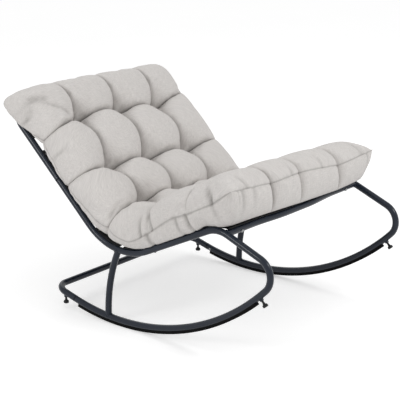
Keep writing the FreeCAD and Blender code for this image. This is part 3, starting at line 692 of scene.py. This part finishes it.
# %% [markdown]
# ## Cushion: letting it swell
# Real pillows are tight in the middle and puckered at their ties. A short
# cloth simulation with inner pressure gives that: the tufts and the underside
# are pinned, the sewn lines are held partly, and the cloth is cut a little
# too large, so that it gathers. Its result is limited and then applied.

# %% Cushion swell
PRESSURE, SPARE_CLOTH, MOST_MOVE, FRAMES = 4.0, -0.045, 0.022, 20
LINE_HOLD, SEAM_HOLD, PUCKER_HOLD = 0.9, 0.95, 0.8
TIE_RADIUS, LEAST_PUCKER, FRONT_ROWS = 0.009, 0.002, 0.35
all_rows = np.concatenate([row.ravel(), row[~edge]])
all_columns = np.concatenate([column.ravel(), column[~edge]])
on_top = np.arange(len(pad_points)) < row.size
free_side = on_top | (all_rows > ROWS - FRONT_ROWS)
row_gaps, column_gaps = line_distances(all_rows, all_columns)
line_gaps = np.minimum(row_gaps, column_gaps)
held = np.where((line_gaps < 1e-6) & free_side, LINE_HOLD, 0.0)
held[:row.size][edge.ravel()] = SEAM_HOLD
held[on_top & (np.hypot(row_gaps, column_gaps) < TIE_RADIUS)] = 1.0
held[~on_top & (to_edges(all_rows, all_columns)[1] > WALL)] = 1.0
pucker = np.concatenate([upper_pucker.ravel(), lower_pucker[~edge]])
held[(held == 0) & (pucker > LEAST_PUCKER)] = PUCKER_HOLD


def swollen(piece, hold):
    """Points of the piece after the cloth simulation."""
    group = piece.vertex_groups.new(name="held")
    for weight in np.unique(hold[hold > 0]):
        group.add(np.nonzero(hold == weight)[0].tolist(), float(weight), "REPLACE")
    cloth = piece.modifiers.new("swell", "CLOTH")
    settings = cloth.settings
    settings.quality = 8
    settings.mass = 0.3
    settings.tension_stiffness = settings.compression_stiffness = 15.0
    settings.shear_stiffness = 5.0
    settings.bending_stiffness = 0.3
    settings.tension_damping = settings.compression_damping = settings.shear_damping = 5.0
    settings.air_damping = 2.0
    settings.use_pressure = True
    settings.uniform_pressure_force = PRESSURE
    settings.shrink_min = settings.shrink_max = SPARE_CLOTH
    settings.vertex_group_mass = "held"
    settings.effector_weights.gravity = 0.0
    cloth.collision_settings.use_collision = False
    cloth.point_cache.frame_start, cloth.point_cache.frame_end = 1, FRAMES
    for number in range(1, FRAMES + 1):
        scene.frame_set(number)
    moved = piece.evaluated_get(bpy.context.evaluated_depsgraph_get()).to_mesh()
    points = np.empty(len(moved.vertices) * 3)
    moved.vertices.foreach_get("co", points)
    piece.modifiers.remove(cloth)
    piece.vertex_groups.clear()
    scene.frame_set(1)
    return points.reshape(-1, 3)


move = swollen(cushion, held) - pad_points
size = np.linalg.norm(move, axis=1, keepdims=True)
move *= MOST_MOVE * np.tanh(size / MOST_MOVE) / np.maximum(size, 1e-9)
away = rail_line(to_rail(all_rows * FIELD_LENGTH))[1]
sinking = np.minimum((move[:, 1:] * away).sum(1), 0.0)
sinking[free_side] = 0.0
move[:, 1:] -= away * sinking[:, None]
pad_points = pad_points + move
cushion.data.vertices.foreach_set("co", pad_points.ravel())
cushion.data.update()
print("swell moved the cloth by %.1f mm, at most %.1f mm" % (size.mean() / MM, size.max() / MM))

# %% Cushion finish and painted shade
SEAM_CREASE, LINE_CREASE = 0.9, 0.55
# painted shade: how much the seam, the sewn lines and the puckers darken the linen
SEAM_SHADE, LINE_SHADE, PUCKER_SHADE = 0.55, 0.85, 0.7
ends = np.empty(len(cushion.data.edges) * 2, np.int64)
cushion.data.edges.foreach_get("vertices", ends)
ends = ends.reshape(-1, 2)
on_seam = np.zeros(len(pad_points), bool)
on_seam[:row.size] = edge.ravel()
sharp = SEAM_CREASE * on_seam[ends].all(1) + LINE_CREASE * (held[ends] == LINE_HOLD).all(1)
seam_way = np.concatenate([seam_ways(upper).ravel(), seam_ways(lower)[~edge]])
# painted shade along the sewn lines
line_painted_shade = np.where(on_top, 1.0, ease((all_rows - ROWS + 0.3) / 0.25)) * fade(line_gaps, 0.003)
line_painted_shade *= np.where(row_gaps < column_gaps, line_left(all_rows, all_columns, 0.1), 1.0)
fold = SEAM_SHADE * fade(seam_way, 0.0018) + LINE_SHADE * line_painted_shade + PUCKER_SHADE * pucker / 0.01
for name, domain, values in (("crease_edge", "EDGE", sharp), ("fold", "POINT", np.clip(fold, 0, 1))):
    attribute = cushion.data.attributes.new(name, "FLOAT", domain)
    attribute.data.foreach_set("value", values.astype(np.float32))
smoothing = cushion.modifiers.new("smooth", "SUBSURF")
smoothing.levels = smoothing.render_levels = 1
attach(cushion, "frame")
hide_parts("cushion")
print("cushion faces", len(cushion.data.polygons))

# %% [markdown]
# ## Slings
# Four bands of black textile are stretched between the rails. Each is hemmed
# round a flat steel strip that is screwed on the rail. One closed outline,
# a thin sheet with a thick rounded hem at its ends, is carried along the rail
# line, so hem and sheet are one surface. The seat sling also has a flap whose
# own hem lies on top of the bowed front tube.

# %% Sling outline
HEM_X, HEM_HALF, HEM_TOP, HEM_LOW = 0.3545, 0.007, 0.0022, 0.0025
SHEET_HALF, SLING_LIFT = 0.0008, 0.0136


def hem_loop():
    """Hem outline (out, up) from the lower to the upper face: |a|^3 + |b|^3 = 1."""
    angle = np.linspace(-0.94 * pi, 0.94 * pi, 29)
    out, up = np.cos(angle), np.sin(angle)
    out = HEM_HALF * np.sign(out) * np.abs(out) ** (2 / 3)
    up = np.where(up > 0, HEM_TOP, HEM_LOW) * np.sign(up) * np.abs(up) ** (2 / 3)
    return np.stack([out, up], -1)


def band_outline():
    """Closed outline of a band: right hem, upper face, left hem, lower face."""
    hem = hem_loop()
    right = hem + [HEM_X, 0]
    left = (hem * [-1, 1] - [HEM_X, 0])[::-1]
    inner = np.linspace(1, -1, 13)[1:-1] * (HEM_X - HEM_HALF)
    upper_face = np.stack([inner, np.full_like(inner, SHEET_HALF)], -1)
    lower_face = np.stack([-inner, np.full_like(inner, -SHEET_HALF)], -1)
    return np.concatenate([right, upper_face, left, lower_face])


def wrapped_uv(sections, runs):
    """Corner UVs of a swept outline in metres: the way round it and the way along."""
    rows, count = sections.shape[:2]
    closed = np.concatenate([sections[0], sections[0][:1]])
    around = np.append(0.0, np.cumsum(np.linalg.norm(np.diff(closed, axis=0), axis=1)))
    grid = np.stack(np.meshgrid(around, runs), -1).reshape(-1, 2)
    corners = quads(np.arange(rows * (count + 1)).reshape(rows, count + 1))
    caps = np.stack([around[:-1], np.zeros(count)], -1)
    return np.concatenate([grid[corners].reshape(-1, 2), caps, caps[::-1]])


def band_sections(start, end):
    """Band outline at steps of about 12 mm along the rail line."""
    runs = np.linspace(start, end, max(4, int((end - start) / 0.012)))
    outline = band_outline()
    along = np.broadcast_to(runs[:, None], (len(runs), len(outline)))
    return lift(outline[:, 0], along, np.broadcast_to(outline[:, 1] + SLING_LIFT, along.shape)), runs


# %% Sling flap
FLAP_RISE = radians(5.9)
FLAP_WAY = np.array([-cos(FLAP_RISE), sin(FLAP_RISE)])
FLAP_UP = np.array([sin(FLAP_RISE), cos(FLAP_RISE)])
FRONT_BAR = np.array([-0.4226, 0.4054])
FLAP_HALF, BAR_BOW = 0.345, 0.014
SEAT_END = BEND_LENGTH + 0.4231 - BEND_RUN


def front_bow(x):
    """How far the front tube bows forward: 14 mm in the middle, nothing near its ends."""
    return BAR_BOW * ease((0.2025 - np.abs(x)) / 0.12)


def flap_sections():
    """Flap outlines side by side: a hem over the front tube and a sheet back to the seat."""
    start = lift(np.zeros(1), np.array([SEAT_END]), np.array([SLING_LIFT]))[0, 1:]
    reach = (FRONT_BAR + FLAP_UP * SLING_LIFT - start) @ FLAP_WAY
    x = np.linspace(-FLAP_HALF, FLAP_HALF, 67)[:, None]
    front = reach + front_bow(x)
    hem = hem_loop()
    share = np.linspace(1, 0, 9)[1:]
    sheet = share * (front - HEM_HALF)
    out = np.concatenate([front + hem[:, 0], sheet, sheet[:, ::-1]], 1)
    up = np.concatenate([hem[:, 1], np.full(8, SHEET_HALF), np.full(8, -SHEET_HALF)])
    flat = start + out[..., None] * FLAP_WAY + np.broadcast_to(up, out.shape)[..., None] * FLAP_UP
    return np.concatenate([np.broadcast_to(x, out.shape)[..., None], flat], -1), x[:, 0], reach


# %% [markdown]
# ## Stitches
# Beside every hem a row of lock stitches shows on both faces. A stitch is a
# short thread with rounded ends. One small template is copied to all places in
# one array operation.

# %% Stitch helper
STITCH_PITCH, STITCH_HALF, STITCH_INSET, THREAD_RADIUS = 0.0062, 0.0023, 0.0022, 0.00042
ACROSS = np.array([1.0, 0.0, 0.0])


def stitches(name, centres, along, up, material):
    """Threads of radius r * (1 - 0.75 w^4) along w = -1..1, one at each centre."""
    steps, turns = np.linspace(-1, 1, 5), np.arange(6) * pi / 3
    side = np.cross(along, up)
    radius = THREAD_RADIUS * (1 - 0.75 * steps ** 4)
    ring = np.cos(turns)[:, None] * side[:, None, None] + np.sin(turns)[:, None] * up[:, None, None]
    spine = centres[:, None] + along[:, None] * (steps * STITCH_HALF)[:, None]
    points = spine[:, :, None] + radius[:, None, None] * ring
    one = swept(points[0])
    offsets = np.arange(len(centres)) * points[0, ..., 0].size
    faces = [[corner + offset for corner in face] for offset in offsets.tolist() for face in one]
    piece = make_piece(name, points, faces, material)
    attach(piece, "frame")
    return piece


def band_stitch_rows(start, end):
    """Stitch places beside both hems, on the upper and the lower face."""
    runs = np.arange(start + STITCH_PITCH, end - STITCH_PITCH / 2, STITCH_PITCH)
    side, face, run = (part.ravel() for part in np.meshgrid([-1, 1], [-1, 1], runs, indexing="ij"))
    x, height = side * (HEM_X - HEM_HALF - STITCH_INSET), SLING_LIFT + face * SHEET_HALF
    here, ahead = lift(x, run, height), lift(x, run + STITCH_HALF, height)
    along = (ahead - here) / np.linalg.norm(ahead - here, axis=1, keepdims=True)
    return here, along, np.cross(along, ACROSS)


# %% Slings
HEM_TURN = 0.02
BANDS = {
    "top_strap": (-0.4106, -0.3526), "back_sling": (-0.2986, -0.02), "bend_strap": (0.027, 0.147),
    "seat_sling": (0.167, SEAT_END),
}
for name, (start, end) in BANDS.items():
    sections, runs = band_sections(start, end)
    points, faces, uv = sections.reshape(-1, 3), swept(sections), wrapped_uv(sections, runs)
    rows = band_stitch_rows(start, end)
    cut_length = end - start
    if name == "seat_sling":
        flap, flap_x, reach = flap_sections()
        faces = faces + [[corner + len(points) for corner in face] for face in swept(flap)]
        points = np.concatenate([points, flap.reshape(-1, 3)])
        uv = np.concatenate([uv, wrapped_uv(flap, flap_x) + [0.0, UV_APART]])
        flap_cut = reach + BAR_BOW + HEM_HALF + HEM_TURN
        cut_length = cut_length + flap_cut
    cloth = make_piece(name + "_cloth", points, faces, sling_cloth, uv)
    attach(cloth, "frame")
    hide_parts(name)
    sewn = stitches(name + "_stitches", *rows, thread)

# %% [markdown]
# ## Screw feet
# Each foot is a pad on a threaded stud that turns in its boss. The thread is a
# true helix: the radius falls and rises with the height less the turn, so the
# stud looks right when it is screwed in or out. The pad is a short neck on a
# flat disc with soft edges. Both are outlines turned about the foot's axis.

# %% Turned rings
SIDES = {"left": -1, "right": 1}
FEET = {
    "front": (np.array([-0.551225, 0.233045]), np.array([-0.67718, -0.73582])),
    "rear": (np.array([0.261091, 0.059516]), np.array([0.0, -1.0])),
}


def full_turn(steps):
    """Angles of one turn in equal steps, without its end."""
    return np.linspace(0, 2 * pi, steps + 1)[:-1]


def turned(place, axis, height, radius, turn):
    """Rings about an axis: place + height * axis + radius * (cos, sin) of the turn."""
    ring = np.cos(turn)[:, None] * ACROSS + np.sin(turn)[:, None] * np.cross(axis, ACROSS)
    return place + height[:, None, None] * axis + radius[..., None] * ring


def foot_places():
    """Name, place on the tube and axis of each of the four feet."""
    for end_name, (place, axis) in FEET.items():
        for side_name, side in SIDES.items():
            yield end_name + "_" + side_name, np.append(side * RAIL_X, place), np.append(0.0, axis)


# %% Threaded studs
THREAD_PITCH, THREAD_DEPTH, THREAD_STEPS = 0.00125, 0.0007, 134
STUD_RADIUS, STUD_START, STUD_SHOULDER = 0.004, 0.004, 0.0247
THREAD_START, THREAD_END = 0.0045, 0.0242
PIVOT = np.array([[STUD_SHOULDER, 0.0025], [0.029, 0.0025], [0.029, 0.0035], [0.031, 0.0035]])


def stud_sections(place, axis):
    """r = radius - depth * |2 f - 1|, f being the fraction of height / pitch - turn / 360.

    Past the shoulder comes the plain pivot with its head.
    """
    height = np.append(np.linspace(STUD_START, STUD_SHOULDER, THREAD_STEPS), PIVOT[:, 0])
    plain = np.append(np.full(THREAD_STEPS, STUD_RADIUS), PIVOT[:, 1])
    turn = full_turn(32)
    phase = (height[:, None] / THREAD_PITCH - turn / (2 * pi)) % 1.0
    threaded = (height > THREAD_START) & (height < THREAD_END)
    radius = plain[:, None] - THREAD_DEPTH * np.abs(2 * phase - 1) * threaded[:, None]
    return turned(place, axis, height, radius, turn)


for foot, place, axis in foot_places():
    sections = stud_sections(place, axis)
    stud = make_piece(foot + "_threaded_stud", sections, swept(sections), black_steel)
    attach(stud, foot + "_stud")
    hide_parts(foot + "_foot_stud")
print("studs with a pitch of %.2f mm" % (THREAD_PITCH / MM))

# %% Moulded pads
SHARP_ANGLE = radians(50)
PAD_OUTLINE = MM * np.array([
    # distance from the tube's middle and radius: the bore for the stud's head, the neck, the disc
    [31.3, 3.55], [28.7, 3.55], [28.7, 2.55], [25, 2.55], [25, 4.6], [25.2, 4.75],
    [27.2, 4.75], [28.2, 5.2], [28.9, 6.2], [29.4, 7.6], [30.1, 8.5], [31.2, 9],
    [34.8, 9], [35, 8.8], [35.2, 9], [36.6, 9], [37.5, 8.7], [38, 8],
])
for foot, place, axis in foot_places():
    rings = turned(place, axis, PAD_OUTLINE[:, 0], PAD_OUTLINE[:, 1:], full_turn(48))
    pad = make_piece(foot + "_moulded_pad", rings, swept(rings), foot_plastic)
    pad.data.set_sharp_from_angle(angle=SHARP_ANGLE)
    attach(pad, foot + "_pad")
    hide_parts(foot + "_foot_pad")
print("pads are %.0f mm across" % (2 * PAD_OUTLINE[:, 1].max() / MM))

# %% [markdown]
# ## Weld beads
# Posts, stubs and foot bosses are welded on the bent tubes. A bead follows the
# line where two round tubes meet, which a quadratic gives for all turns at
# once, and small ripples show the weld's passes.

# %% Weld helper
RIPPLE, WELD_PASS = 0.14, 0.0026


def weld_bead(name, place, way, radius, main_way, bead):
    """Ring along the meeting line of a branch tube with a main tube.

    A branch point is place + offset + s * way, and s solves
    |offset + s * way, square to the main tube| = TUBE_RADIUS.
    """
    turn = full_turn(96)
    way, main_way = way / np.linalg.norm(way), main_way / np.linalg.norm(main_way)
    first = np.cross(way, main_way)
    first = first / np.linalg.norm(first)
    second = np.cross(way, first)
    offset = radius * (np.cos(turn)[:, None] * first + np.sin(turn)[:, None] * second)
    square = np.eye(3) - np.outer(main_way, main_way)
    a, b = way @ square @ way, offset @ square @ way
    c = np.einsum("ni,ij,nj->n", offset, square, offset) - TUBE_RADIUS ** 2
    reach = (-b + np.sqrt(np.maximum(b * b - a * c, 0))) / a
    spine = place + offset + reach[:, None] * way
    out = offset / radius
    round_it = np.arange(10) * pi / 5
    ripple = bead * (1 + RIPPLE * np.sin(turn * round(2 * pi * radius / WELD_PASS)))[:, None, None]
    cross = np.cos(round_it)[:, None] * out[:, None] + np.sin(round_it)[:, None] * way
    points = spine[:, None] + ripple * cross
    piece = make_piece(name, points, swept(points, ring=True), powder_coat)
    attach(piece, "frame")


# %% Weld beads
BOSS_RADIUS, BOSS_BEAD, TUBE_BEAD = 0.0065, 0.0013, 0.0019
POST_FOOT, POST_TOP = np.array([0.067, 0.02076]), np.array([0.018, 0.26287])
POST_TURN = radians(12.93)
SEAT_STUB_RUN = 0.185


def heading(degrees):
    """Direction in (y, z): the cosine and the sine of an angle above the y axis."""
    return np.array([cos(radians(degrees)), sin(radians(degrees))])


REAR_WAY = heading(15.3)
post_chord = (POST_TOP - POST_FOOT) / np.linalg.norm(POST_TOP - POST_FOOT)
post_bulge = np.array([post_chord[1], -post_chord[0]])
post_rise, post_lean = post_chord * cos(POST_TURN), post_bulge * sin(POST_TURN)
front_foot, front_axis = FEET["front"]
WELDS = {
    # place, way of the branch tube (None for straight across) and way of the main tube
    "post_foot": (POST_FOOT, post_rise + post_lean, heading(4.72)),
    "post_top": (POST_TOP, post_lean - post_rise, heading(6.8)),
    "front_boss": (front_foot, front_axis, (front_axis[1], -front_axis[0])),
    "rear_boss": (*FEET["rear"], REAR_WAY),
    "front_stub": (FRONT_BAR, None, -heading(21.9)),
    "seat_stub": (CREASE + SEAT_STUB_RUN * SEAT_WAY, None, SEAT_WAY),
}
for name, (place, way, main_way) in WELDS.items():
    for side_name, side in SIDES.items():
        branch = np.array([-side, 0.0, 0.0]) if way is None else np.append(0.0, way)
        boss = name.endswith("boss")
        weld_bead(
            side_name + "_" + name + "_weld", np.append(side * RAIL_X, place), branch,
            BOSS_RADIUS if boss else TUBE_RADIUS, np.append(0.0, main_way), BOSS_BEAD if boss else TUBE_BEAD,
        )
print("weld beads", 2 * len(WELDS))

# %% [markdown]
# ## Joint shade rings
# The back's rails and the rear bow are second tubes that plug into the side
# frames. A thin dark line shows at each of the four joints, the shade in the
# gap between the tubes. A flat black ring round the tube paints that shade and
# gives that line a shape of its own.

# %% Joint shade rings
RING_HALF, RING_PROUD, RING_SUNK = 0.0015, 0.0001, -0.0004
RING_ALONG = RING_HALF * np.array([-1, -1, 1, 1])
RING_RADII = TUBE_RADIUS + np.array([RING_SUNK, RING_PROUD, RING_PROUD, RING_SUNK])
BACK_JOINT_RUN, REAR_JOINT = 0.341, np.array([0.21479, 0.04685])
JOINTS = {"back": (CREASE + BACK_JOINT_RUN * BACK_WAY, BACK_WAY), "rear": (REAR_JOINT, REAR_WAY)}
for joint_name, (place, way) in JOINTS.items():
    for side_name, side in SIDES.items():
        joint, axis = np.append(side * RAIL_X, place), np.append(0.0, way)
        rings = turned(joint, axis, RING_ALONG, RING_RADII[:, None], full_turn(64)).transpose(1, 0, 2)
        shade_ring_name = side_name + "_" + joint_name + "_joint_shade_ring"
        # painted shade: a black ring where the joint's gap is in shade
        shade_ring = make_piece(shade_ring_name, rings, swept(rings, ring=True), strip_rubber)
        shade_ring.data.set_sharp_from_angle(angle=SHARP_ANGLE)
        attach(shade_ring, "frame")
print("joint shade rings", 2 * len(JOINTS))

# %% [markdown]
# ## Studio
# A plain white floor under soft light. The world and the floor are white to
# the camera and to reflections, and light the chair at a plain level. The
# floor still takes the chair's shadow.

# %% World
AMBIENT, WHITE = 0.69, (1.0, 1.0, 1.0, 1.0)


def seen_directly(tree):
    """1 for rays from the camera, off a gloss or through glass, 0 for light on the chair."""
    rays = add_node(tree, "LightPath").outputs
    mirrored = calculate(tree, "MAXIMUM", rays["Is Glossy Ray"], rays["Is Transmission Ray"])
    return calculate(tree, "MAXIMUM", rays["Is Camera Ray"], mirrored)


world = bpy.data.worlds.new("studio")
scene.world = world
world.use_nodes = True
world_tree = world.node_tree
level = add_node(world_tree, "MapRange", Value=seen_directly(world_tree), To_Min=AMBIENT, To_Max=1.0)
background = world_tree.nodes["Background"]
set_inputs(background, Color=WHITE)
world_tree.links.new(level.outputs[0], background.inputs["Strength"])
print("light from all round", AMBIENT)


# %% Lamps
def soft_lamp(name, place, aim, power, width, height):
    """Area lamp that faces a point."""
    lamp = bpy.data.lights.new(name, "AREA")
    lamp.energy = power
    lamp.shape = "RECTANGLE"
    lamp.size, lamp.size_y = width, height
    holder = bpy.data.objects.new(name, lamp)
    holder.location = place
    holder.rotation_euler = (Vector(aim) - Vector(place)).to_track_quat("-Z", "Y").to_euler()
    scene.collection.objects.link(holder)


soft_lamp("key_lamp", (0.3, -2.9, 2.6), (0.0, 0.0, 0.4), 34.0, 0.9, 0.9)
soft_lamp("side_lamp", (-3.0, 0.6, 1.6), (-0.3, 0.2, 0.5), 20.0, 0.9, 0.9)
soft_lamp("back_lamp", (1.2, 2.4, 2.6), (0.0, 0.0, 0.4), 10.0, 2.0, 2.0)
print("lamps", len(bpy.data.lights))

# %% Floor
FLOOR_GLOW, FLOOR_HALF, FLOOR_DROP = 0.42, 9.0, 0.0006
floor_material, floor_tree, floor_shader = new_material("white_floor")
floor_place = add_node(floor_tree, "TexCoord").outputs["Object"]
floor_cloud = noise(floor_tree, floor_place, 2.0, 2.0)
tinted(floor_tree, floor_shader, floor_cloud, (0.80, 0.80, 0.80), (0.82, 0.82, 0.82))
set_inputs(floor_shader, Roughness=0.9, Specular_IOR_Level=0.0, Emission_Color=WHITE)
glow = calculate(floor_tree, "MULTIPLY", seen_directly(floor_tree), FLOOR_GLOW)
floor_tree.links.new(glow, floor_shader.inputs["Emission Strength"])
floor_points = FLOOR_HALF * np.array([[-1, -1, 0], [1, -1, 0], [1, 1, 0], [-1, 1, 0]]) - [0, 0, FLOOR_DROP]
floor_mesh = bpy.data.meshes.new("studio_floor")
floor_mesh.from_pydata(floor_points.tolist(), [], [[0, 1, 2, 3]])
floor_mesh.materials.append(floor_material)
floor = bpy.data.objects.new("studio_floor", floor_mesh)
scene.collection.objects.link(floor)
scene.view_settings.view_transform = "Standard"
print("studio ready")
